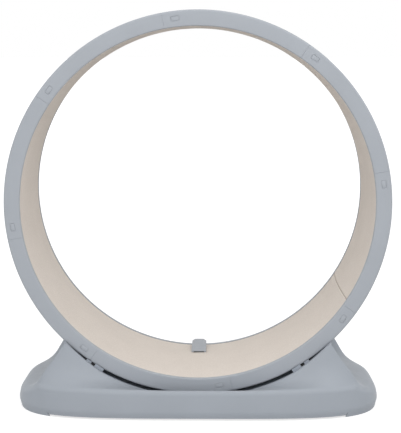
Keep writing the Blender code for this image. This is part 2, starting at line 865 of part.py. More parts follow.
def lock_arm_mesh():
    """The lock arm: a crested bar from its knuckle over the rear rim to its tip above the track."""
    rim = ring_centre_height - lip_radius
    behind_rim = ring_half_width + lock_rim_gap
    shares = (0, 0.25, 0.5, 0.75)
    stations = [lock_tip_depth + (seat_half_width - lock_tip_depth) * share for share in shares]
    under = [(y, track_height(y) + lock_track_gap) for y in stations]
    under += [(seat_half_width, rim + lock_rim_gap), (behind_rim, rim + lock_rim_gap)]
    knuckle_low = (lock_pivot_depth, lock_pivot_height - lock_knuckle_radius / 2)
    knuckle_high = (lock_pivot_depth, lock_pivot_height + lock_knuckle_radius)
    crest = rim + lock_crest_height
    tip_top = (lock_tip_depth, track_height(lock_tip_depth) + lock_tip_height)
    outline = under + [knuckle_low, knuckle_high, (behind_rim, crest), tip_top]
    body = extruded(outline, lock_width / 2, "lock_arm")
    slope = (lock_width - lock_crest_width) / 2
    start = behind_rim - lock_crest_length
    stop = lock_pivot_depth + 2 * lock_knuckle_radius
    for side in (-1, 1):
        outer = lock_width / 2 + cut_overrun
        inner = lock_width / 2 - slope - cut_overrun
        steepness = lock_crest_drop / slope
        corner = [
            (side * outer, crest - lock_crest_drop - cut_overrun * steepness),
            (side * inner, crest + cut_overrun * steepness),
            (side * outer, crest + lock_crest_drop),
        ]
        chamfer = lofted([[(x, y, z) for x, z in corner] for y in (start, stop)], "chamfer")
        body = combined(body, chamfer, "DIFFERENCE")
    knuckle = rod_across(lock_knuckle_radius, lock_knuckle_width / 2 - seated_gap, "knuckle")
    bore = rod_across(lock_pin_radius + seated_gap, lock_width, "bore")
    body = combined(combined(body, knuckle, "UNION"), bore, "DIFFERENCE")
    roof = tip_top[1] - lock_recess_roof
    half = lock_pad_width / 2 + seated_gap
    low = (-half, lock_tip_depth - cut_overrun, lock_pivot_height)
    high = (half, lock_tip_depth + lock_pad_length, roof)
    return combined(body, box_mesh(low, high), "DIFFERENCE")


def lock_pad_mesh():
    """The rubber pad that fills the recess under the arm's tip."""
    roof = track_height(lock_tip_depth) + lock_tip_height - lock_recess_roof - seated_gap
    ends = (lock_tip_depth + seated_gap, lock_tip_depth + lock_pad_length - seated_gap)
    low = [(y, track_height(y) + lock_track_gap - seated_gap) for y in ends]
    high = [(y, roof) for y in reversed(ends)]
    return extruded(low + high, lock_pad_width / 2, "lock_pad")


def valley_points(half_width):
    """The rear panel's slope behind the ring as (y, z) points, at its highest within a width."""
    middle = rear_column(0)
    edge = rear_column(half_width / saddle_half_length)
    return [(m.y, max(m.z, e.z)) for m, e in zip(middle[3:7], edge[3:7])][::-1]


def height_at(points, y):
    for (y1, z1), (y2, z2) in zip(points, points[1:]):
        if y1 <= y <= y2:
            return z1 + (z2 - z1) * (y - y1) / (y2 - y1)
    return points[-1][1]


def lock_bracket_mesh():
    """Two lugs on a foot that follows the valley of the rear panel."""
    half = lock_knuckle_width / 2 + lock_lug_gap + lock_lug
    valley = valley_points(half)
    near = valley[0][0] + lock_lug / 2
    far = valley[-1][0] - 2 * lock_lug
    ys = [near] + [y for y, _ in valley if near < y < far] + [far]
    under = [(y, height_at(valley, y) + 2 * seated_gap) for y in ys]
    over = [(y, z + lock_foot_thickness) for y, z in reversed(under)]
    body = extruded(under + over, half, "lock_bracket")
    reach = lock_knuckle_radius
    top = lock_pivot_height + lock_knuckle_radius
    root = [(y, z + seated_gap) for y, z in under]
    root[0] = (near + seated_gap, root[0][1])
    root[-1] = (far - seated_gap, root[-1][1])
    lug = root + [
        (lock_pivot_depth + reach, lock_pivot_height),
        (lock_pivot_depth + reach / 2, top - seated_gap),
        (lock_pivot_depth - reach / 2, top - seated_gap),
        (lock_pivot_depth - reach, lock_pivot_height),
    ]
    for side in (-1, 1):
        plate = extruded(lug, (lock_lug - seated_gap) / 2, "lug")
        plate.transform(Matrix.Translation((side * (half - lock_lug / 2), 0, 0)))
        body = combined(body, plate, "UNION")
    bore = rod_across(lock_pin_radius + seated_gap, half + cut_overrun, "bore")
    return combined(body, bore, "DIFFERENCE")


def lock_pin_mesh():
    half = lock_knuckle_width / 2 + lock_lug_gap + lock_lug
    lead = lock_pin_radius / 5
    slim = lock_pin_radius - lead
    outline = [(-half, slim), (lead - half, lock_pin_radius), (half - lead, lock_pin_radius), (half, slim)]
    mesh = turned_rod(outline, "lock_pin", 16)
    mesh.transform(Matrix.Rotation(math.pi / 2, 4, "Z"))
    return mesh


def build_lock(plastic, rubber, steel):
    pivot = Vector((0, lock_pivot_depth, lock_pivot_height))
    axis = add_empty("lock_axis", pivot)
    arm = lock_arm_mesh()
    arm.transform(Matrix.Translation(-pivot))
    add_part("lock_arm", arm, plastic, axis)
    pad = lock_pad_mesh()
    pad.transform(Matrix.Translation(-pivot))
    add_part("lock_pad", pad, rubber, axis)
    add_part("lock_bracket", lock_bracket_mesh(), plastic)
    add_part("lock_pin", lock_pin_mesh(), steel, location=pivot)


def main():
    clear_scene()
    plastic = shell_plastic()
    dark = dark_plastic()
    rubber = tyre_rubber()
    steel = bearing_steel()
    build_ring(plastic, felt())
    build_rollers(plastic, dark, rubber, steel)
    foot_line = build_base(plastic)
    build_underframe(plastic, dark, rubber, foot_line)
    build_lock(plastic, rubber, steel)


main()
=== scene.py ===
"""Cat exercise wheel: fine pieces, felt track, materials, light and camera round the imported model.

Metres, +Z up. X runs along the base and Y from the front to the rear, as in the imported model.
"""

import math

import bmesh
import bpy
from mathutils import Matrix, Vector, noise


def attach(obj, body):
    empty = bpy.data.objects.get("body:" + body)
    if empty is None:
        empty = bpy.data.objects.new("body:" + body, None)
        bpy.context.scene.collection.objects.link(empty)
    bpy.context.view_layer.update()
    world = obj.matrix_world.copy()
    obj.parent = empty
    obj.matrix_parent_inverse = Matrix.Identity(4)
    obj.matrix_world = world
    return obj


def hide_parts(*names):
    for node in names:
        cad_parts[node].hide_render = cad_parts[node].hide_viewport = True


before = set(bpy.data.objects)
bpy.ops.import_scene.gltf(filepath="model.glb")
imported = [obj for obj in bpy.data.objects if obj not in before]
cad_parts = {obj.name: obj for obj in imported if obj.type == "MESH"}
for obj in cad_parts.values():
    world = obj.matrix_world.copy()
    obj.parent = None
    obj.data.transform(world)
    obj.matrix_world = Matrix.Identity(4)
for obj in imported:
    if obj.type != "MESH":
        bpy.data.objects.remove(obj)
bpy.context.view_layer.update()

# Fit between pieces that touch, and how far a cutter or a joined block reaches past a face
SEATED = 0.0003
PAST = 0.002

# Running ring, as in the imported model
RING_R = 0.500
RING_HALF = 0.160
CENTRE = Vector((0, 0, 0.5455))
FACE = 0.0413
LIP_R = RING_R - FACE
LIP_WIDTH = 0.010
WALL = 0.003
SEGMENTS = 8
SEGMENT = 2 * math.pi / SEGMENTS
FIRST_SEAM = math.radians(10.5)
SEAM_GAP = 0.0002
SEAT_HALF = RING_HALF - LIP_WIDTH
SEAT_DEPTH = 0.0058
SEAT_R = LIP_R + SEAT_DEPTH
CROWN = 0.0079
CROWN_POINTS = 17
CORNER_STEPS = 6
SEGMENT_STEPS = 40
SEAM_CHAMFER = 0.0004
SEAM_CHAMFER_LENGTH = 0.0006

# Latch windows, and the tongues that reach into them from the next segment
WINDOW_R = LIP_R + FACE / 2
WINDOW_FROM_SEAM = 0.031
WINDOW_HALF_LENGTH = 0.0105
WINDOW_NEAR = WINDOW_FROM_SEAM - WINDOW_HALF_LENGTH
WINDOW_FAR = WINDOW_FROM_SEAM + WINDOW_HALF_LENGTH
WINDOW_HALF_HEIGHT = 0.006
WINDOW_CORNER = 0.0022
WINDOW_RIM = 0.0008
TONGUE = 0.003
TONGUE_GAP = 0.0005
TONGUE_MARGIN = 0.006
TONGUE_REACH = 0.043
TONGUE_ROOT = 0.018
TONGUE_EDGE = 0.0008
ROOT_INSET = 0.001
ROOT_SUNK = 0.0012
BUTTON_PLAY = 0.0003
BUTTON_SUNK = 0.0004

# Felt mat
PAD = 0.0045
MAT_SEAM = math.radians(-32.6)
MAT_GAP = 0.0010
MAT_EDGE = 0.0030
MAT_SIDE = 0.0016
MAT_LEAST = 0.001
MAT_COLUMNS = 63
MAT_BACK_STEP = 8
MAT_CROWDING = 0.65
MAT_STEPS = 900
MAT_END_STEPS = 5
MAT_LUMPS = ((48, 0.00024), (210, 0.00012), (8, 0.0003))
MAT_LUMP_FADE = 0.006

# Rollers and the carriers that hold them
ROLLER_TURN = math.radians(33.5)
ROLLER_R = 0.025
ROLLER_WIDTH = 0.026
ROLLER_Y = 0.1445
ROLLER_PLAY = 0.0004
ROLLER_CENTRE_R = RING_R + ROLLER_PLAY + ROLLER_R
ROLLER_INSET = 0.0025
TYRE = 0.006
TYRE_SHOULDER = 0.0030
TYRE_EDGE = 0.0006
TYRE_GROOVE = 0.0008
GROOVE_EDGE = 0.0003
HUB_BORE_R = 0.0075
HUB_DISH = 0.0016
HUB_EDGE = 0.0004
BEARING_R = 0.011
BEARING_BORE = 0.004
BEARING_WIDTH = 0.007
INNER_RACE_R = 0.0062
OUTER_RACE_R = 0.0094
SHIELD_DEPTH = 0.0004
SHIELD_SLOPE = 0.0003
BORE_EDGE = 0.00035
RIM_EDGE = 0.0005
SHIELD_EDGE = 0.0001
AXLE_R = BEARING_BORE - SEATED
AXLE_CHAMFER = 0.0006
TROUGH_GAP = 0.006
TROUGH = RING_HALF + TROUGH_GAP
CRADLE_GAP = 0.015
CRADLE_R = RING_R + CRADLE_GAP
CRADLE = 0.003
POCKET_SIDE = 0.0060
POCKET_BELOW = 0.0030
POCKET_END = 0.0022
CARRIER_WALL = 0.0035
CARRIER_OUT = TROUGH - 2 * SEATED
CARRIER_IN = RING_HALF - ROLLER_INSET - ROLLER_WIDTH - POCKET_SIDE - CARRIER_WALL
CARRIER_TAB = 0.003
CARRIER_TAB_LENGTH = 0.012
# Each prong's shift up along the ring, its width and how far it overlaps the ring's face
PRONGS = ((-0.0212, 0.0262, 0.0042), (0.0105, 0.015, 0.0030))
PRONG_EDGE = 0.0004

# Base. Its surface runs in levels: skirt, bulge, below the crest, crest, two on the cheek, ridge,
# trough and pan.
BASE_X = 0.4787
BASE_Y = 0.2353
BULGE = 0.005
BULGE_Z = 0.0187
CORNER = 4.0
BASE_WALL = 0.0025
SKIRT = 0.0055
CAP_SKIRT = 0.0008
CREST_MIDDLE = 0.0781
CREST_FRONT = 0.0815
CREST_REAR_MIDDLE = 0.060
CREST_REAR = 0.050
SETBACK = 0.0070
END_SETBACK = 0.0130
ROLL = 0.008
SADDLE_GAP = 0.005
SADDLE_R = RING_R + SADDLE_GAP
SADDLE_CLOSING = 0.008
SADDLE_CLOSING_START = 0.235
SADDLE_HALF = 0.347
RIDGE = 0.008
# Where the panel meets the cap on the first six levels, as shares of BASE_X
SEAMS = (0.801, 0.826, 0.860, 0.862, 0.8270, 0.7860)
# How far the cheek's two levels lie in and up from the crest to the ridge
CHEEKS = (0.333, 0.667)
CHEEK_RISES = (0.27, 0.57)
CAP_CREST = 0.046
CAP_SHOULDER = 0.087
CAP_TILT = 0.011
CAP_RISES = (0.27, 0.58)
CAP_SADDLE_POWER = 9.0
CAP_FULLNESS = 2.5
PANEL_SEAM = 0.0001
PANEL_STEPS = 110
PANEL_CROWDING = 0.4
CAP_STEPS = 72
# The cut that rounds each level
COLUMN_CUTS = (0.0, 0.007, 0.007, 0.005, 0.020, 0.020, 0.0035, 0.0012, 0.0)
COLUMN_STEPS = 6
PAN_TOP = 0.009
# The blend across the seams: its width, its reach in columns and the levels it covers
SEAM_EASE = 0.010
SEAM_REACH = 16
EASED_LEVELS = range(3, 7)

# Points closer than this are merged, and no corner's cut takes more of a side than this share
MERGE = 1e-7
SIDE_SHARE = 0.49

# The angle in degrees above which an edge is shaded sharp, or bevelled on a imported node
SHARP = 35
SHARP_RING = 30
SHARP_BASE = 50
SHARP_FELT = 60
SHARP_NODE = 40

# Lamps, each with its place, aim, size and power, and the camera fitted to the photograph
LAMPS = {
    "top": ((0.5, -0.9, 3.5), (0, 0, 0.4), 3.2, 22),
    "front": ((0.1, -4.6, 1.5), (0, 0, 0.4), 3.4, 44),
    "left": ((-1.7, -1.9, 1.5), (0, 0, 0.5), 2.4, 10),
    "right": ((1.3, -1.8, 2.1), (0, 0, 0.5), 2.4, 14),
}
CAMERA_PLACE = (0.0404, -2.9072, 1.0064)
CAMERA_TURN = (math.radians(90 - 7.335), 0.0, math.radians(0.539))
CAMERA_LENS = 90.145
CAMERA_SHIFT = (-0.0065, -0.12)
WHITE = (1.0, 1.0, 1.0, 1.0)

# The floor's own light by the distance from the wheel, and the sky's by its height
FLOOR_HALF = 30
FLOOR_FADE = (1.2, 4.0)
FLOOR_LIGHT = (0.66, 0.74)
SKY_FADE = (-0.1, 0.9)
SKY_LIGHT = (0.66, 0.80)


def linear(red, green, blue):
    """A colour given as it shows on screen, 0 to 255, as Blender's linear values."""
    made = []
    for value in (red, green, blue):
        v = value / 255
        made.append(v / 12.92 if v <= 0.04045 else ((v + 0.055) / 1.055) ** 2.4)
    return (*made, 1.0)


# Materials


class Tree:
    """A node tree, with short calls for the nodes that the finishes and the world share."""

    def __init__(self, tree):
        self.tree = tree

    def add(self, kind, **values):
        node = self.tree.nodes.new(kind)
        for key, value in values.items():
            setattr(node, key, value)
        return node

    def put(self, socket, value):
        """Gives a socket a plain value, or links another node's output to it."""
        if isinstance(value, (tuple, float)):
            socket.default_value = value
        else:
            self.tree.links.new(value, socket)

    def ranged(self, value, low, high, to_low, to_high):
        node = self.add("ShaderNodeMapRange")
        for name, limit in (
            ("Value", value),
            ("From Min", low),
            ("From Max", high),
            ("To Min", to_low),
            ("To Max", to_high),
        ):
            self.put(node.inputs[name], limit)
        return node.outputs["Result"]

    def math(self, operation, first, second):
        node = self.add("ShaderNodeMath", operation=operation)
        for socket, value in zip(node.inputs, (first, second)):
            self.put(socket, value)
        return node.outputs["Value"]


class Finish(Tree):
    """A new material's nodes. Its textures are placed by the piece's own coordinates."""

    def __init__(self, name):
        self.material = bpy.data.materials.new(name)
        self.material.use_nodes = True
        super().__init__(self.material.node_tree)
        self.shader = self.tree.nodes["Principled BSDF"]
        self.place = self.add("ShaderNodeTexCoord").outputs["Object"]

    def stretched(self, scale):
        node = self.add("ShaderNodeMapping")
        self.put(node.inputs["Scale"], scale)
        self.put(node.inputs["Vector"], self.place)
        return node.outputs["Vector"]

    def noise(self, scale, detail=3.0, rough=0.5, vector=None):
        node = self.add("ShaderNodeTexNoise")
        self.put(node.inputs["Scale"], scale)
        self.put(node.inputs["Detail"], detail)
        self.put(node.inputs["Roughness"], rough)
        self.put(node.inputs["Vector"], vector or self.place)
        return node.outputs["Fac"]

    def cells(self, scale, vector):
        node = self.add("ShaderNodeTexVoronoi")
        self.put(node.inputs["Scale"], scale)
        self.put(node.inputs["Vector"], vector)
        return node.outputs["Distance"]

    def mixed(self, factor, first, second):
        node = self.add("ShaderNodeMix", data_type="RGBA")
        self.put(node.inputs["Factor"], factor)
        self.put(node.inputs["A"], first)
        self.put(node.inputs["B"], second)
        return node.outputs["Result"]

    def bump(self, height, strength, distance, below=None):
        node = self.add("ShaderNodeBump")
        self.put(node.inputs["Strength"], strength)
        self.put(node.inputs["Distance"], distance)
        self.put(node.inputs["Height"], height)
        if below is not None:
            self.put(node.inputs["Normal"], below)
        return node.outputs["Normal"]

    def paint(self, name, value):
        self.put(self.shader.inputs[name], value)


def moulded_plastic(name, colour, worn, roughness, grain=1.0):
    """Satin injection-moulded plastic: a fine grain, flow clouds and a few lighter scuffs."""
    n = Finish(name)
    clouds = n.ranged(n.noise(7.0, 4.0, 0.55), 0.30, 0.70, 0.0, 1.0)
    darker = tuple(c * 0.955 for c in colour[:3]) + (1.0,)
    body = n.mixed(clouds, darker, colour)
    specks = n.ranged(n.noise(950.0, 2.0), 0.35, 0.65, 0.0, 0.05)
    body = n.mixed(specks, body, worn)
    streaks = n.noise(46.0, 6.0, 0.7, n.stretched((1.0, 1.0, 4.0)))
    scuffs = n.ranged(streaks, 0.60, 0.78, 0.0, 0.18)
    body = n.mixed(scuffs, body, worn)
    n.paint("Base Color", body)
    gloss = n.ranged(n.noise(70.0, 4.0), 0.3, 0.7, roughness - 0.05, roughness + 0.06)
    n.paint("Roughness", gloss)
    n.paint("Specular IOR Level", 0.42)
    fine = n.noise(1500.0 * grain, 3.0, 0.6)
    waves = n.noise(24.0, 2.0, 0.4)
    n.paint("Normal", n.bump(fine, 0.16, 0.0003, n.bump(waves, 0.05, 0.002)))
    return n.material


def felt_cloth():
    """Needle-punched felt: matted crossing fibres, soft tufts and a pale bloom of loose ends."""
    n = Finish("felt")
    across = n.cells(900.0, n.stretched((1.0, 0.22, 1.0)))
    along = n.cells(820.0, n.stretched((0.25, 1.0, 0.25)))
    fibres = n.ranged(n.math("MULTIPLY", across, along), 0.05, 0.55, 0.0, 1.0)
    tufts = n.noise(260.0, 5.0, 0.65)
    patches = n.ranged(n.noise(11.0, 4.0, 0.6), 0.3, 0.7, 0.0, 1.0)
    base = n.mixed(patches, linear(216, 207, 199), linear(222, 213, 205))
    base = n.mixed(n.ranged(tufts, 0.35, 0.7, 0.0, 0.45), base, linear(206, 197, 187))
    base = n.mixed(n.ranged(fibres, 0.45, 1.0, 0.0, 0.5), base, linear(232, 225, 217))
    n.paint("Base Color", base)
    n.paint("Roughness", 0.95)
    n.paint("Specular IOR Level", 0.15)
    n.paint("Sheen Weight", 0.35)
    n.paint("Sheen Roughness", 0.6)
    n.paint("Sheen Tint", linear(240, 234, 226))
    lumps = n.bump(tufts, 0.45, 0.0012, n.bump(n.noise(60.0, 3.0), 0.25, 0.002))
    n.paint("Normal", n.bump(fibres, 0.55, 0.0008, lumps))
    return n.material


def black_rubber(name, shade):
    """Matt dark rubber with a thin film of paler dust."""
    n = Finish(name)
    dust = n.ranged(n.noise(35.0, 5.0, 0.65), 0.40, 0.75, 0.0, 0.35)
    clean = linear(shade, shade, shade + 2)
    dusty = linear(shade + 34, shade + 33, shade + 30)
    n.paint("Base Color", n.mixed(dust, clean, dusty))
    n.paint("Roughness", n.ranged(n.noise(90.0, 3.0), 0.3, 0.7, 0.68, 0.88))
    n.paint("Specular IOR Level", 0.35)
    n.paint("Normal", n.bump(n.noise(1100.0, 3.0, 0.6), 0.3, 0.0003))
    return n.material


def turned_steel():
    """Turned steel: fine rings round the piece's own Y axis."""
    n = Finish("turned_steel")
    rings = n.noise(420.0, 3.0, 0.6, n.stretched((1.0, 6.0, 1.0)))
    bright = n.ranged(rings, 0.3, 0.7, 0.0, 1.0)
    n.paint("Base Color", n.mixed(bright, linear(178, 180, 184), linear(206, 208, 211)))
    n.paint("Metallic", 1.0)
    n.paint("Roughness", n.ranged(rings, 0.3, 0.7, 0.20, 0.36))
    n.paint("Normal", n.bump(rings, 0.08, 0.0002))
    return n.material


shell = moulded_plastic("ring_plastic", linear(162, 167, 174), linear(177, 182, 188), 0.46)
base_shell = moulded_plastic("base_plastic", linear(155, 161, 169), linear(171, 177, 184), 0.46)
# The shell plastic made darker for the carriers and the cradle, which sit down in the base: its
# colour holds painted shade.
shade_darkened_shell = moulded_plastic(
    "shade_darkened_shell_plastic", linear(143, 150, 160), linear(158, 164, 172), 0.60
)
hub_plastic = moulded_plastic("hub_plastic", linear(92, 96, 102), linear(122, 126, 131), 0.5, 0.8)
pan_plastic = moulded_plastic("pan_plastic", linear(88, 91, 96), linear(112, 115, 119), 0.55, 0.7)
felt = felt_cloth()
tyre_rubber = black_rubber("tyre_rubber", 38)
foot_rubber = black_rubber("foot_rubber", 46)
steel = turned_steel()


# Mesh helpers


def shaded(mesh, sharp):
    mesh.shade_smooth()
    mesh.set_sharp_from_angle(angle=math.radians(sharp))
    return mesh


def finished(work, name, sharp=SHARP):
    bmesh.ops.remove_doubles(work, verts=work.verts, dist=MERGE)
    bmesh.ops.recalc_face_normals(work, faces=work.faces)
    mesh = bpy.data.meshes.new(name)
    work.to_mesh(mesh)
    work.free()
    return shaded(mesh, sharp)


def softened(points, cuts, steps, closed=True):
    """A line of points whose corners are rounded, each by its own cut, with steps + 1 points."""
    made = []
    last = len(points) - 1
    for k, here in enumerate(points):
        here = Vector(here)
        if not cuts[k] or (not closed and k in (0, last)):
            made.append(here)
            continue
        back = Vector(points[k - 1]) - here
        ahead = Vector(points[(k + 1) % len(points)]) - here
        start = here + back.normalized() * min(cuts[k], back.length * SIDE_SHARE)
        stop = here + ahead.normalized() * min(cuts[k], ahead.length * SIDE_SHARE)
        for step in range(steps + 1):
            u = step / steps
            made.append(start * (1 - u) ** 2 + here * 2 * u * (1 - u) + stop * u**2)
    return made


def add_bands(work, rows):
    """Faces between neighbouring rows of vertices, each row a closed loop."""
    for one, two in zip(rows, rows[1:]):
        for k in range(len(one)):
            work.faces.new((one[k - 1], one[k], two[k], two[k - 1]))


def lofted(rows, name, cavity=(), sharp=SHARP):
    """A closed body through rows of points, or a tube whose wall reaches in to the cavity rows."""
    work = bmesh.new()
    outer = [[work.verts.new(p) for p in row] for row in rows]
    inner = [[work.verts.new(p) for p in row] for row in cavity]
    add_bands(work, outer)
    add_bands(work, inner)
    if inner:
        add_bands(work, (outer[0], inner[0]))
        add_bands(work, (outer[-1], inner[-1]))
    else:
        work.faces.new(outer[0])
        work.faces.new(list(reversed(outer[-1])))
    return finished(work, name, sharp)


def turned_rows(outline, sides):
    """The outline's (y, radius) points at each of the sides of a turn about Y."""
    turns = [2 * math.pi * k / sides for k in range(sides)]
    return [[(r * math.cos(t), y, r * math.sin(t)) for y, r in outline] for t in turns]


def turned_ring(outline, name, sides):
    """A ring about Y from a closed outline of (y, radius) points."""
    work = bmesh.new()
    rows = [[work.verts.new(p) for p in row] for row in turned_rows(outline, sides)]
    add_bands(work, rows + rows[:1])
    return finished(work, name)


def turned_rod(outline, name, sides):
    """A solid rod about Y from an open outline of (y, radius) points."""
    return lofted(list(zip(*turned_rows(outline, sides))), name)


def inset(points, distance):
    """A closed (y, radius) outline moved inward by a distance, with as many points."""
    least_mitre = 0.3
    moved = []
    area = sum(a[0] * b[1] - b[0] * a[1] for a, b in zip(points, points[1:] + points[:1]))
    side = 1 if area > 0 else -1
    for k, here in enumerate(points):
        back = (Vector(here) - Vector(points[k - 1])).normalized()
        ahead = (Vector(points[(k + 1) % len(points)]) - Vector(here)).normalized()
        one = Vector((-back.y, back.x)) * side
        two = Vector((-ahead.y, ahead.x)) * side
        mitre = (one + two).normalized()
        moved.append(Vector(here) + mitre * distance / max(mitre.dot(one), least_mitre))
    return moved


def box(low, high, rounding=0.0):
    """A block, with rounded edges where a rounding is given."""
    work = bmesh.new()
    size = Vector(high) - Vector(low)
    middle = (Vector(high) + Vector(low)) / 2
    place = Matrix.Translation(middle) @ Matrix.Diagonal((*size, 1))
    bmesh.ops.create_cube(work, size=1, matrix=place)
    if rounding:
        bmesh.ops.bevel(
            work,
            geom=list(work.edges),
            offset=rounding,
            segments=2,
            profile=0.5,
            affect="EDGES",
            clamp_overlap=True,
        )
    return finished(work, "block")


def combined(body, tool, operation):
    """The mesh that a Boolean of two meshes gives."""
    first = bpy.data.objects.new("first", body)
    second = bpy.data.objects.new("second", tool)
    for item in (first, second):
        bpy.context.scene.collection.objects.link(item)
    step = first.modifiers.new("boolean", "BOOLEAN")
    step.object = second
    step.operation = operation
    step.solver = "EXACT"
    evaluated = first.evaluated_get(bpy.context.evaluated_depsgraph_get())
    made = bpy.data.meshes.new_from_object(evaluated)
    for item in (first, second):
        bpy.data.objects.remove(item, do_unlink=True)
    return shaded(made, SHARP)


def mirrored(mesh):
    """The same mesh on the other side of the XZ plane, with its faces still outward."""
    mesh.transform(Matrix.Diagonal((1, -1, 1, 1)))
    mesh.flip_normals()
    return mesh


def add(name, mesh, material, body, replaces, place=None):
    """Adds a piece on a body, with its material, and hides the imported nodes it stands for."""
    if place is not None:
        mesh = mesh.copy()
        mesh.transform(place)
    mesh.materials.clear()
    mesh.materials.append(material)
    item = bpy.data.objects.new(name, mesh)
    bpy.context.scene.collection.objects.link(item)
    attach(item, body)
    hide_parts(*replaces)
    return item


# Running ring


def on_ring(radius, y, angle):
    return Vector((radius * math.cos(angle), y, radius * math.sin(angle)))


def crown(y):
    return CROWN * (1 - (y / SEAT_HALF) ** 2)


def segment_corners():
    """The segment's section: each corner, the cut that rounds it outside, and the cut inside."""
    half = [
        ((RING_HALF, RING_R), 0.0062, 0.0030),
        ((RING_HALF, LIP_R), 0.0036, 0.0008),
        ((SEAT_HALF, LIP_R), 0.0009, 0.0008),
        ((SEAT_HALF, SEAT_R), 0.0006, 0.0008),
    ]
    middle = []
    for k in range(1, CROWN_POINTS + 1):
        y = SEAT_HALF * (1 - 2 * k / (CROWN_POINTS + 1))
        middle.append(((y, SEAT_R - crown(y)), 0.0, 0.0))
    return half + middle + [((-p[0], p[1]), a, b) for p, a, b in reversed(half)]


def segment_tube():
    """The segment's hollow section along its arc, chamfered at both seams."""
    points, cuts, inner_cuts = zip(*segment_corners())
    points = list(points)
    outside = softened(points, cuts, CORNER_STEPS)
    inside = softened(inset(points, WALL), inner_cuts, CORNER_STEPS)
    eased = inset(outside, SEAM_CHAMFER)
    margin = SEAM_GAP / 2 / RING_R
    chamfer = SEAM_CHAMFER_LENGTH / RING_R
    span = SEGMENT - 2 * margin - 2 * chamfer
    turns = [margin + chamfer + span * k / SEGMENT_STEPS for k in range(SEGMENT_STEPS + 1)]
    sections = [(margin, eased)] + [(t, outside) for t in turns] + [(SEGMENT - margin, eased)]
    rows = [[on_ring(r, y, t) for y, r in section] for t, section in sections]
    cavity = [[on_ring(r, y, t) for y, r in inside] for t, _ in sections]
    return lofted(rows, "ring_segment", cavity, SHARP_RING)


def tongue_blocks():
    """A latch tongue in its seam's frame: the plate, the root that joins it, and the button."""
    face = RING_HALF - WALL - TONGUE_GAP
    low_r = LIP_R + WALL + TONGUE_MARGIN
    high_r = RING_R - WALL - TONGUE_MARGIN
    button = WINDOW_HALF_HEIGHT - BUTTON_PLAY
    return (
        box((low_r, face - TONGUE, -TONGUE_REACH), (high_r, face, TONGUE_ROOT), TONGUE_EDGE),
        box(
            (low_r + ROOT_INSET, face - TONGUE / 2, TONGUE_EDGE),
            (high_r - ROOT_INSET, RING_HALF - WALL + ROOT_SUNK, TONGUE_ROOT - TONGUE_EDGE),
        ),
        box(
            (WINDOW_R - button, face - TONGUE / 2, BUTTON_PLAY - WINDOW_FAR),
            (WINDOW_R + button, RING_HALF - BUTTON_SUNK, -WINDOW_NEAR - BUTTON_PLAY),
            TONGUE_EDGE,
        ),
    )


def window_cutter():
    """A latch window with rounded corners and an eased rim, in its seam's frame."""
    rows = []
    for y, grow in (
        (RING_HALF - WALL - PAST, 0.0),
        (RING_HALF - WINDOW_RIM / 2, 0.0),
        (RING_HALF + WINDOW_RIM / 2, WINDOW_RIM),
    ):
        low_r = WINDOW_R - WINDOW_HALF_HEIGHT - grow
        high_r = WINDOW_R + WINDOW_HALF_HEIGHT + grow
        low_z, high_z = -WINDOW_FAR - grow, -WINDOW_NEAR + grow
        corners = [(low_r, low_z), (high_r, low_z), (high_r, high_z), (low_r, high_z)]
        rounded = softened(corners, [WINDOW_CORNER] * 4, steps=4)
        rows.append([(p.x, y, p.y) for p in rounded])
    return lofted(rows, "window")


def segment_mesh():
    """One hollow ring segment, with latch tongues at one end and windows at the other."""
    mesh = segment_tube()
    for side in (1, -1):
        for block in tongue_blocks():
            mesh = combined(mesh, block if side > 0 else mirrored(block), "UNION")
        cutter = window_cutter() if side > 0 else mirrored(window_cutter())
        cutter.transform(Matrix.Rotation(-SEGMENT, 4, "Y"))
        mesh = combined(mesh, cutter, "DIFFERENCE")
    mesh.set_sharp_from_angle(angle=math.radians(SHARP_RING))
    return mesh


def edge_drop(distance):
    """How far the mat's face lies below its full height, by the distance from its edge."""
    if distance >= MAT_EDGE:
        return 0.0
    return MAT_EDGE - math.sqrt(MAT_EDGE**2 - (MAT_EDGE - distance) ** 2)


def felt_turns():
    """The mat's angles from one end to the other, crowded where its ends are rounded."""
    start = MAT_SEAM + MAT_GAP / 2 / LIP_R
    stop = MAT_SEAM + 2 * math.pi - MAT_GAP / 2 / LIP_R
    ends = []
    for k in range(MAT_END_STEPS + 1):
        ends.append(MAT_EDGE / LIP_R * (1 - math.cos(math.pi / 2 * k / MAT_END_STEPS)))
    first, last = start + ends[-1], stop - ends[-1]
    turns = [start + t for t in ends[:-1]]
    turns += [first + (last - first) * k / MAT_STEPS for k in range(MAT_STEPS + 1)]
    return turns + [stop - t for t in reversed(ends[:-1])]


def felt_mesh():
    """The felt mat on the crowned seat, with rounded edges and a surface that is never even."""
    half = SEAT_HALF - MAT_SIDE
    back = SEAT_R - SEATED
    even = [1 - 2 * k / (MAT_COLUMNS + 1) for k in range(MAT_COLUMNS + 2)]
    depths = []
    for e in even:
        crowded = math.sin(math.pi / 2 * e)
        depths.append(half * ((1 - MAT_CROWDING) * e + MAT_CROWDING * crowded))
    turns = felt_turns()
    rows = []
    for t in turns:
        end_drop = edge_drop(min(t - turns[0], turns[-1] - t) * LIP_R)
        circle = Vector((math.cos(t), math.sin(t), 0)) * LIP_R
        row = []
        for y in depths:
            across = half - abs(y)
            place = Vector((circle.x, circle.y, y))
            lump = sum(noise.noise(place * scale) * height for scale, height in MAT_LUMPS)
            drop = min(max(end_drop, edge_drop(across)), PAD - MAT_LEAST)
            thick = PAD - drop + lump * min(1.0, across / MAT_LUMP_FADE)
            row.append(on_ring(back - crown(y) - thick, y, t))
        under = [on_ring(back - crown(y), y, t) for y in depths[::-MAT_BACK_STEP]]
        rows.append(row + under)
    return lofted(rows, "felt_mat", sharp=SHARP_FELT)


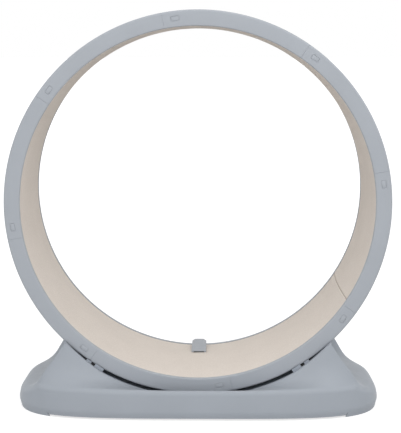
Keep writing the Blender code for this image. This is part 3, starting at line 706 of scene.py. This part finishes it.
def build_ring():
    at_centre = Matrix.Translation(CENTRE)
    segment = segment_mesh()
    names = []
    for k in range(SEGMENTS):
        turn = Matrix.Rotation(-(FIRST_SEAM + k * SEGMENT), 4, "Y")
        names.append(f"ring_shell_{k + 1}")
        nodes = (f"ring_segment_{k + 1}",)
        add(names[-1], segment, shell, "wheel", nodes, at_centre @ turn)
    mat = add("felt_mat", felt_mesh(), felt, "wheel", ("track_mat",), at_centre)


# Base


def smoothstep(share):
    """0 to 1 with a level start and end."""
    return share**2 * (3 - 2 * share)


def plan_depth(x, half_length, half_depth):
    share = min(abs(x) / half_length, 1)
    return half_depth * (1 - share**CORNER) ** (1 / CORNER)


def saddle_height(x):
    """The height of the arc that the cheeks follow round the ring, closer towards their tops."""
    share = (abs(x) - SADDLE_CLOSING_START) / (SADDLE_HALF - SADDLE_CLOSING_START)
    radius = SADDLE_R - SADDLE_CLOSING * smoothstep(max(0, share))
    return CENTRE.z - math.sqrt(radius**2 - x**2)


def base_levels():
    """The base's half length and half depth at the skirt, the bulge, below the crest and on it."""
    return (
        (BASE_X, BASE_Y),
        (BASE_X + BULGE, BASE_Y + BULGE / 2),
        (BASE_X, BASE_Y - SETBACK / 4),
        (BASE_X - END_SETBACK, BASE_Y - SETBACK),
    )


def panel_column(share, middle_height, end_height):
    """A front panel's surface points from the skirt's edge up, over the ridge, down to the pan."""
    crest = middle_height + (end_height - middle_height) * smoothstep(abs(share))
    heights = (SKIRT, BULGE_Z, crest - ROLL, crest)
    points = []
    for length_share, (half_length, half_depth), height in zip(SEAMS, base_levels(), heights):
        x = share * length_share * BASE_X
        points.append(Vector((x, -plan_depth(x, half_length, half_depth), height)))
    ridge_x = share * SADDLE_HALF
    ridge = Vector((ridge_x, -TROUGH - RIDGE, saddle_height(ridge_x)))
    crease = points[-1]
    for length_share, inward, rise in zip(SEAMS[4:], CHEEKS, CHEEK_RISES):
        x = share * length_share * BASE_X
        points.append(Vector((x, crease.lerp(ridge, inward).y, crease.lerp(ridge, rise).z)))
    points.append(ridge)
    points.append(Vector((ridge_x, -TROUGH, ridge.z)))
    points.append(Vector((ridge_x, -TROUGH, PAN_TOP + SEATED)))
    return points


def front_column(share):
    return panel_column(share, CREST_MIDDLE, CREST_FRONT)


def rear_column(share):
    return [Vector((p.x, -p.y, p.z)) for p in panel_column(share, CREST_REAR_MIDDLE, CREST_REAR)]


def cap_profile():
    """The right end cap's (x, z) points in its middle, from the skirt up and over to the pan."""
    crest_x = BASE_X - END_SETBACK
    top_x = SADDLE_HALF + RIDGE * 2
    rise = CAP_SHOULDER - CAP_CREST
    profile = [
        (BASE_X, SKIRT),
        (BASE_X + BULGE, BULGE_Z),
        (BASE_X, CAP_CREST - ROLL),
        (crest_x, CAP_CREST),
    ]
    for along, up in zip(CHEEKS, CAP_RISES):
        profile.append((crest_x + (top_x - crest_x) * along, CAP_CREST + rise * up))
    profile += [(top_x, CAP_SHOULDER), (SADDLE_HALF, CAP_SHOULDER)]
    return profile + [(SADDLE_HALF, PAN_TOP + SEATED)]


def cap_columns():
    """The right end cap's surface, from the front panel's seam round to the rear panel's seam."""
    start = front_column(1)
    stop = rear_column(1)
    levels = base_levels()
    middle = cap_profile()
    columns = []
    for k in range(1, CAP_STEPS):
        share = math.sin(math.pi / 2 * (2 * k / CAP_STEPS - 1))
        fullness = (1 - abs(share) ** CAP_FULLNESS) ** (1 / CAP_FULLNESS)
        column = []
        for level, (first, last, (mid_x, mid_z)) in enumerate(zip(start, stop, middle)):
            seam = first if share < 0 else last
            y = first.y + (last.y - first.y) * (share + 1) / 2
            if level < len(levels):
                half_length, half_depth = levels[level]
                x = plan_depth(y, half_depth, half_length)
            else:
                x = seam.x + (mid_x - seam.x) * fullness
            level_z = mid_z - (CAP_TILT * share if 1 < level < len(middle) - 1 else 0)
            z = level_z + (seam.z - level_z) * abs(share) ** CAP_SADDLE_POWER
            column.append(Vector((x, y, z)))
        columns.append(column)
    return columns


def base_walk():
    """Every column of the base's surface, once round, in four runs."""
    shares = [2 * k / PANEL_STEPS - 1 for k in range(PANEL_STEPS + 1)]
    shares = [s + PANEL_CROWDING * (math.sin(math.pi / 2 * s) - s) for s in shares]
    front = [front_column(s) for s in shares]
    right = cap_columns()
    rear = [rear_column(-s) for s in shares]
    left = [[Vector((-p.x, p.y, p.z)) for p in column] for column in reversed(right)]
    return front, right, rear, left


def eased_seams(runs):
    """The runs with their slopes blended across the seams, by a moving average on each level."""
    columns = [column for run in runs for column in run]
    made = [[p.copy() for p in column] for column in columns]
    count = len(columns)
    starts = [0]
    for run in runs:
        starts.append(starts[-1] + len(run))
    for level in EASED_LEVELS:
        line = [column[level] for column in columns]
        for seam in starts[1:]:
            for k in range(seam - SEAM_REACH, seam + SEAM_REACH):
                here = line[k % count]
                total = Vector()
                weights = 0.0
                for j in range(k - SEAM_REACH, k + SEAM_REACH + 1):
                    there = line[j % count]
                    share = (line[(j + 1) % count] - line[(j - 1) % count]).length
                    share *= math.exp(-((there - here).length / SEAM_EASE) ** 2)
                    total += there * share
                    weights += share
                made[k % count][level] = total / weights
    return [made[start:stop] for start, stop in zip(starts, starts[1:])]


def wall_columns(columns):
    """The inner side of the wall, each surface point moved in with mitred corners."""
    least_mitre = 0.5
    inner = []
    for k, column in enumerate(columns):
        moved = []
        for level, here in enumerate(column):
            along = columns[(k + 1) % len(columns)][level] - columns[k - 1][level]
            normals = []
            if level > 0:
                normals.append(along.cross(here - column[level - 1]).normalized())
            if level < len(column) - 1:
                normals.append(along.cross(column[level + 1] - here).normalized())
            mitre = sum(normals, Vector()).normalized()
            moved.append(here - mitre * BASE_WALL / max(mitre.dot(normals[0]), least_mitre))
        inner.append(moved)
    return inner


def shell_mesh(outer, inner, name):
    """A thin-walled shell between an outer and an inner grid of points."""
    work = bmesh.new()
    face = [[work.verts.new(p) for p in column] for column in outer]
    back = [[work.verts.new(p) for p in column] for column in inner]
    for grid in (face, back):
        for one, two in zip(grid, grid[1:]):
            for k in range(len(one) - 1):
                work.faces.new((one[k], two[k], two[k + 1], one[k + 1]))
    for k in range(len(face) - 1):
        for end in (0, -1):
            work.faces.new((face[k][end], face[k + 1][end], back[k + 1][end], back[k][end]))
    for end in (0, -1):
        one, two = face[end], back[end]
        for k in range(len(one) - 1):
            work.faces.new((one[k], one[k + 1], two[k + 1], two[k]))
    return finished(work, name, SHARP_BASE)


def build_base():
    runs = eased_seams(base_walk())
    smooth = []
    for run in runs:
        smooth.append([softened(c, COLUMN_CUTS, COLUMN_STEPS, closed=False) for c in run])
    outer = [column for run in smooth for column in run]
    inner = wall_columns(outer)
    start = 0
    for name, run, overlap, drop in (
        ("base_front_panel", smooth[0], 0, 0),
        ("base_end_cap_right", smooth[1], 1, SKIRT - CAP_SKIRT),
        ("base_rear_panel", smooth[2], 0, 0),
        ("base_end_cap_left", smooth[3], 1, SKIRT - CAP_SKIRT),
    ):
        ends = range(start - overlap, start + len(run) + overlap)
        shift = PANEL_SEAM / 2 if overlap else -PANEL_SEAM / 2
        grids = []
        for skin in (outer, inner):
            grid = [[p.copy() for p in skin[k % len(outer)]] for k in ends]
            for column in (grid[0], grid[-1]):
                for p in column:
                    p.x += shift if p.x > 0 else -shift
            for column in grid:
                column[0].z -= drop
            grids.append(grid)
        mesh = shell_mesh(*grids, name)
        add(f"{name}_shell", mesh, base_shell, "base", (name,))
        start += len(run)


# Rollers


def tyre_outline():
    """A soft tyre with round shoulders and two fine grooves."""
    half = ROLLER_WIDTH / 2
    low = ROLLER_R - TYRE
    deep = ROLLER_R - TYRE_GROOVE
    floor_half = TYRE_GROOVE * 0.6
    line = [(-half, low), (half, low), (half, ROLLER_R)]
    cuts = [TYRE_EDGE, TYRE_EDGE, TYRE_SHOULDER]
    for middle in (half / 3, -half / 3):
        line += [
            (middle + TYRE_GROOVE, ROLLER_R),
            (middle + floor_half, deep),
            (middle - floor_half, deep),
            (middle - TYRE_GROOVE, ROLLER_R),
        ]
        cuts += [GROOVE_EDGE] * 4
    return softened(line + [(-half, ROLLER_R)], cuts + [TYRE_SHOULDER], steps=5)


def hub_outline():
    """A hub with a bearing seat at each end and a dish in both faces."""
    half = ROLLER_WIDTH / 2
    outer = ROLLER_R - TYRE - SEATED
    seat = BEARING_R + SEATED
    web = half - BEARING_WIDTH - 2 * SEATED
    # One end's face from the seat outward, as (depth below the end, radius)
    face = (
        (0.0, seat + 0.0018),
        (HUB_DISH, seat + 0.0024),
        (HUB_DISH, outer - 0.0020),
        (0.0, outer - 0.0014),
        (0.0, outer),
    )
    line = [(-half, seat), (-web, seat), (-web, HUB_BORE_R)]
    line += [(web, HUB_BORE_R), (web, seat), (half, seat)]
    line += [(half - depth, r) for depth, r in face]
    line += [(depth - half, r) for depth, r in reversed(face)]
    return softened(line, [HUB_EDGE] * len(line), steps=2)


def bearing_outline():
    """A shielded ball bearing's section: both races stand proud of the shields between them."""
    half = BEARING_WIDTH / 2
    shield = half - SHIELD_DEPTH
    races = (
        (half, INNER_RACE_R),
        (shield, INNER_RACE_R + SHIELD_SLOPE),
        (shield, OUTER_RACE_R - SHIELD_SLOPE),
        (half, OUTER_RACE_R),
    )
    line = [(-half, BEARING_BORE), (half, BEARING_BORE), *races]
    line += [(half, BEARING_R), (-half, BEARING_R)]
    line += [(-y, r) for y, r in reversed(races)]
    race_cuts = [SHIELD_EDGE] * len(races)
    cuts = [BORE_EDGE] * 2 + race_cuts + [RIM_EDGE] * 2 + race_cuts
    return softened(line, cuts, steps=2)


def carrier_mesh(side, end):
    """A roller carrier below the ring's centre, with the two prongs that the base's slots show."""
    low_y, high_y = CARRIER_IN, CARRIER_OUT
    pocket = ROLLER_R + POCKET_SIDE
    outer = pocket + CARRIER_WALL
    pocket_floor = ROLLER_CENTRE_R + ROLLER_R + POCKET_BELOW
    bottom = pocket_floor + CARRIER_WALL
    mouth = CRADLE_R - CRADLE
    tab_top = math.sqrt((CRADLE_R + CRADLE) ** 2 - outer**2) + SEATED
    wall = RING_HALF + POCKET_END
    body = box((-outer, low_y, -bottom), (outer, high_y, -mouth))
    tabs = box(
        (-outer - CARRIER_TAB_LENGTH, low_y + SEATED, -tab_top - CARRIER_TAB),
        (outer + CARRIER_TAB_LENGTH, RING_HALF - ROLLER_INSET, -tab_top),
    )
    body = combined(body, tabs, "UNION")
    for shift, width, overlap in PRONGS:
        middle = side * shift
        prong = box(
            (middle - width / 2, wall + SEATED / 2, -mouth - PAST),
            (middle + width / 2, high_y - SEATED / 2, overlap - RING_R),
            PRONG_EDGE,
        )
        body = combined(body, prong, "UNION")
    hollow = box((-pocket, low_y + CARRIER_WALL, -pocket_floor), (pocket, wall, PAST - mouth))
    body = combined(body, hollow, "DIFFERENCE")
    hole_ends = [(low_y - PAST, BEARING_BORE), (high_y + PAST, BEARING_BORE)]
    hole = turned_rod(hole_ends, "hole", sides=32)
    hole.transform(Matrix.Translation((0, 0, -ROLLER_CENTRE_R)))
    body = combined(body, hole, "DIFFERENCE")
    return body if end > 0 else mirrored(body)


def axle_outline():
    half = (CARRIER_OUT - CARRIER_IN) / 2
    tip = AXLE_R - AXLE_CHAMFER
    shoulder = half - AXLE_CHAMFER
    return [(-half, tip), (-shoulder, AXLE_R), (shoulder, AXLE_R), (half, tip)]


def build_rollers():
    tyre = turned_ring(tyre_outline(), "tyre", sides=72)
    hub = turned_ring(hub_outline(), "hub", sides=64)
    bearing = turned_ring(bearing_outline(), "bearing", sides=48)
    axle = turned_rod(axle_outline(), "axle", sides=32)
    bearing_y = (ROLLER_WIDTH - BEARING_WIDTH) / 2
    for side, side_name in ((-1, "left"), (1, "right")):
        down = Vector((side * math.sin(ROLLER_TURN), 0, -math.cos(ROLLER_TURN)))
        centre = CENTRE + down * ROLLER_CENTRE_R
        turn = Matrix.Translation(CENTRE) @ Matrix.Rotation(-side * ROLLER_TURN, 4, "Y")
        for end, end_name in ((-1, "front"), (1, "rear")):
            name = f"{end_name}_{side_name}"
            at = Matrix.Translation(centre + Vector((0, end * ROLLER_Y, 0)))
            inward = at @ Matrix.Translation((0, -end * bearing_y, 0))
            outward = at @ Matrix.Translation((0, end * bearing_y, 0))
            middle = Vector((0, end * (CARRIER_OUT + CARRIER_IN) / 2, 0))
            across = Matrix.Translation(centre + middle)
            carrier = carrier_mesh(side, end)
            roller = f"roller_{name}"
            for piece, mesh, material, body, slot, place in (
                (f"tyre_{name}", tyre, tyre_rubber, roller, "tyre_rubber", at),
                (f"hub_{name}", hub, hub_plastic, roller, "dark_plastic", at),
                (f"bearing_{name}_inner", bearing, steel, roller, "bearing_steel", inward),
                (f"bearing_{name}_outer", bearing, steel, roller, "bearing_steel", outward),
                (f"axle_{name}", axle, steel, "base", "bearing_steel", across),
                (f"carrier_{name}", carrier, shade_darkened_shell, "base", "shell_plastic", turn),
            ):
                add(piece, mesh, material, body, (f"roller_{piece}",), place)


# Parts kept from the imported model


def dress(node, material, bevel=0.0):
    """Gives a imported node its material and, where a bevel is given, eased edges."""
    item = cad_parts[node]
    item.data.materials.clear()
    item.data.materials.append(material)
    if bevel:
        step = item.modifiers.new("edges", "BEVEL")
        step.width = bevel
        step.segments = 2
        step.limit_method = "ANGLE"
        step.angle_limit = math.radians(SHARP_NODE)


def dress_nodes():
    # The cradle gets the darker copy of the shell plastic, with painted shade in its colour.
    dress("ring_cradle", shade_darkened_shell)
    dress("floor_pan", pan_plastic)
    dress("lock_arm", shell, 0.0009)
    dress("lock_bracket", shell, 0.0006)
    dress("lock_pin", steel)
    dress("lock_pad", foot_rubber)
    for end in ("front", "rear"):
        for side in ("left", "right"):
            dress(f"rubber_foot_{end}_{side}", foot_rubber)


# Floor, light and camera


def build_floor():
    """A pale floor that keeps the object's shadow and is seen as white away from it."""
    mesh = bpy.data.meshes.new("floor")
    work = bmesh.new()
    bmesh.ops.create_grid(work, x_segments=4, y_segments=4, size=FLOOR_HALF)
    work.to_mesh(mesh)
    work.free()
    floor = bpy.data.objects.new("floor", mesh)
    bpy.context.scene.collection.objects.link(floor)
    n = Finish("floor")
    n.paint("Base Color", linear(190, 190, 190))
    n.paint("Roughness", 0.9)
    n.paint("Specular IOR Level", 0.1)
    ray = n.add("ShaderNodeLightPath").outputs
    seen = n.math("MAXIMUM", ray["Is Camera Ray"], ray["Is Glossy Ray"])
    away = n.add("ShaderNodeVectorMath", operation="LENGTH")
    n.put(away.inputs[0], n.place)
    light = n.ranged(away.outputs["Value"], *FLOOR_FADE, *FLOOR_LIGHT)
    n.paint("Emission Color", WHITE)
    n.paint("Emission Strength", n.math("MULTIPLY", seen, light))
    mesh.materials.append(n.material)


def build_world():
    """A soft sky that lights the object, and shows as white to the eye, in gloss and in glass."""
    world = bpy.data.worlds.new("studio")
    world.use_nodes = True
    n = Tree(world.node_tree)
    ray = n.add("ShaderNodeLightPath").outputs
    seen = n.math("MAXIMUM", ray["Is Camera Ray"], ray["Is Glossy Ray"])
    seen = n.math("MAXIMUM", seen, ray["Is Transmission Ray"])
    parts = n.add("ShaderNodeSeparateXYZ")
    n.put(parts.inputs[0], n.add("ShaderNodeTexCoord").outputs["Generated"])
    sky = n.ranged(parts.outputs["Z"], *SKY_FADE, *SKY_LIGHT)
    back = n.tree.nodes["Background"]
    n.put(back.inputs["Color"], WHITE)
    n.put(back.inputs["Strength"], n.ranged(seen, 0.0, 1.0, sky, 1.0))
    bpy.context.scene.world = world


def build_lamps():
    for name, (place, aim, size, power) in LAMPS.items():
        lamp = bpy.data.lights.new(name, "AREA")
        lamp.shape = "SQUARE"
        lamp.size = size
        lamp.energy = power
        item = bpy.data.objects.new(name, lamp)
        item.location = place
        towards = Vector(aim) - Vector(place)
        item.rotation_euler = towards.to_track_quat("-Z", "Y").to_euler()
        bpy.context.scene.collection.objects.link(item)


def build_camera():
    lens = bpy.data.cameras.new("camera")
    lens.sensor_width = 36.0
    lens.sensor_fit = "AUTO"
    lens.lens = CAMERA_LENS
    lens.shift_x, lens.shift_y = CAMERA_SHIFT
    lens.clip_start = 0.05
    lens.clip_end = 200.0
    camera = bpy.data.objects.new("camera", lens)
    camera.location = CAMERA_PLACE
    camera.rotation_euler = CAMERA_TURN
    scene = bpy.context.scene
    scene.collection.objects.link(camera)
    scene.camera = camera
    scene.view_settings.view_transform = "Standard"


build_ring()
build_base()
build_rollers()
dress_nodes()
build_floor()
build_world()
build_lamps()
build_camera()
